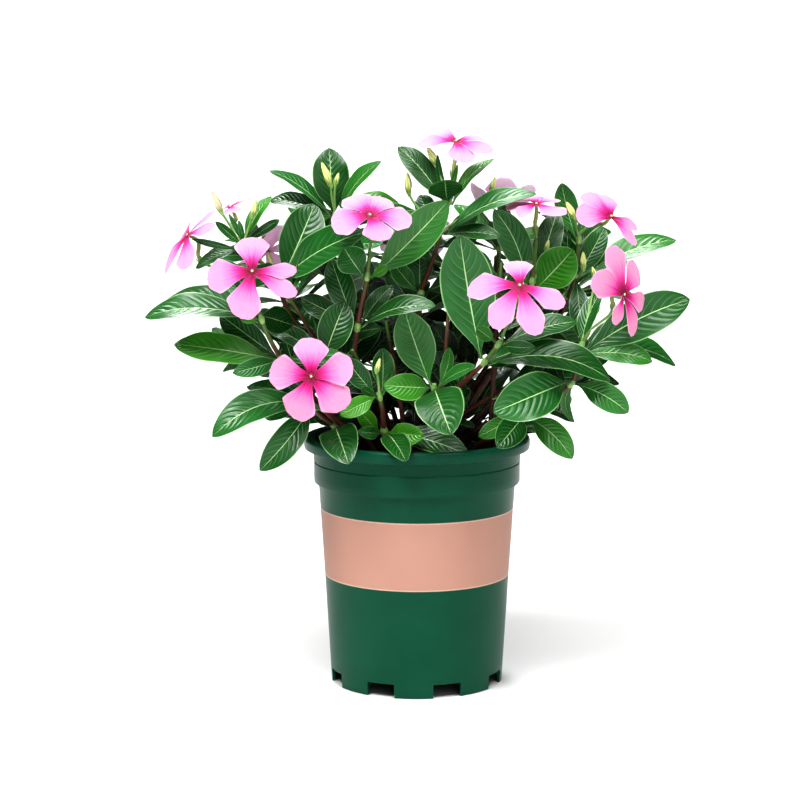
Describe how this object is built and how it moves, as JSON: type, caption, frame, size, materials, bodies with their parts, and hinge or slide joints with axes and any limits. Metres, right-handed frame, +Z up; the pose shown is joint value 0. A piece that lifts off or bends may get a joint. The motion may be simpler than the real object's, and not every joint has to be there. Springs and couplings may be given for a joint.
{
  "type": "potted madagascar periwinkle",
  "caption": "Bushy flowering plant with glossy oval leaves and flat pink five-petalled flowers, rooted in soil in a tapered plastic nursery pot.",
  "frame": {"origin": "middle of the pot's foot, on the surface that the pot stands on, on the pot's axis", "axes": "+Z up along the pot's axis, -Y towards the side that the picture shows, +X to its right"},
  "size_m": [0.3824, 0.2582, 0.4022],
  "materials": {
    "pot_plastic": "satin",
    "soil": "rough",
    "stem": "satin",
    "leaf": "satin",
    "petal": "matte"
  },
  "bodies": {
    "root": {"flower_back_left": "petal", "flower_back_middle": "petal", "flower_far_left": "petal", "flower_far_right": "petal", "flower_left": "petal", "flower_left_top": "petal", "flower_low_front": "petal", "flower_middle": "petal", "flower_right": "petal", "flower_right_behind": "petal", "flower_right_top": "petal", "flower_right_upper": "petal", "flower_top": "petal", "leaves_back_left_1": "leaf", "leaves_back_middle_1": "leaf", "leaves_back_right_1": "leaf", "leaves_crown_1": "leaf", "leaves_crown_2": "leaf", "leaves_crown_3": "leaf", "leaves_front_low_1": "leaf", "leaves_front_low_2": "leaf", "leaves_front_middle_1": "leaf", "leaves_front_right_1": "leaf", "leaves_front_right_2": "leaf", "leaves_left_low_1": "leaf", "leaves_left_low_2": "leaf", "leaves_left_rim_1": "leaf", "leaves_left_rim_2": "leaf", "leaves_left_rim_3": "leaf", "leaves_left_tall_1": "leaf", "leaves_left_tall_2": "leaf", "leaves_middle_left_1": "leaf", "leaves_middle_left_2": "leaf", "leaves_right_back_1": "leaf", "leaves_right_low_1": "leaf", "leaves_right_low_2": "leaf", "leaves_right_rim_1": "leaf", "leaves_right_tall_1": "leaf", "leaves_right_tall_2": "leaf", "leaves_upper_left_1": "leaf", "leaves_upper_right_1": "leaf", "nursery_pot": "pot_plastic", "potting_soil": "soil", "stem_back_left": "stem", "stem_back_middle": "stem", "stem_back_right": "stem", "stem_crown": "stem", "stem_front_low": "stem", "stem_front_middle": "stem", "stem_front_right": "stem", "stem_left_low": "stem", "stem_left_rim": "stem", "stem_left_tall": "stem", "stem_middle_left": "stem", "stem_right_back": "stem", "stem_right_low": "stem", "stem_right_rim": "stem", "stem_right_tall": "stem", "stem_upper_left": "stem", "stem_upper_right": "stem"}
  },
  "joints": []
}
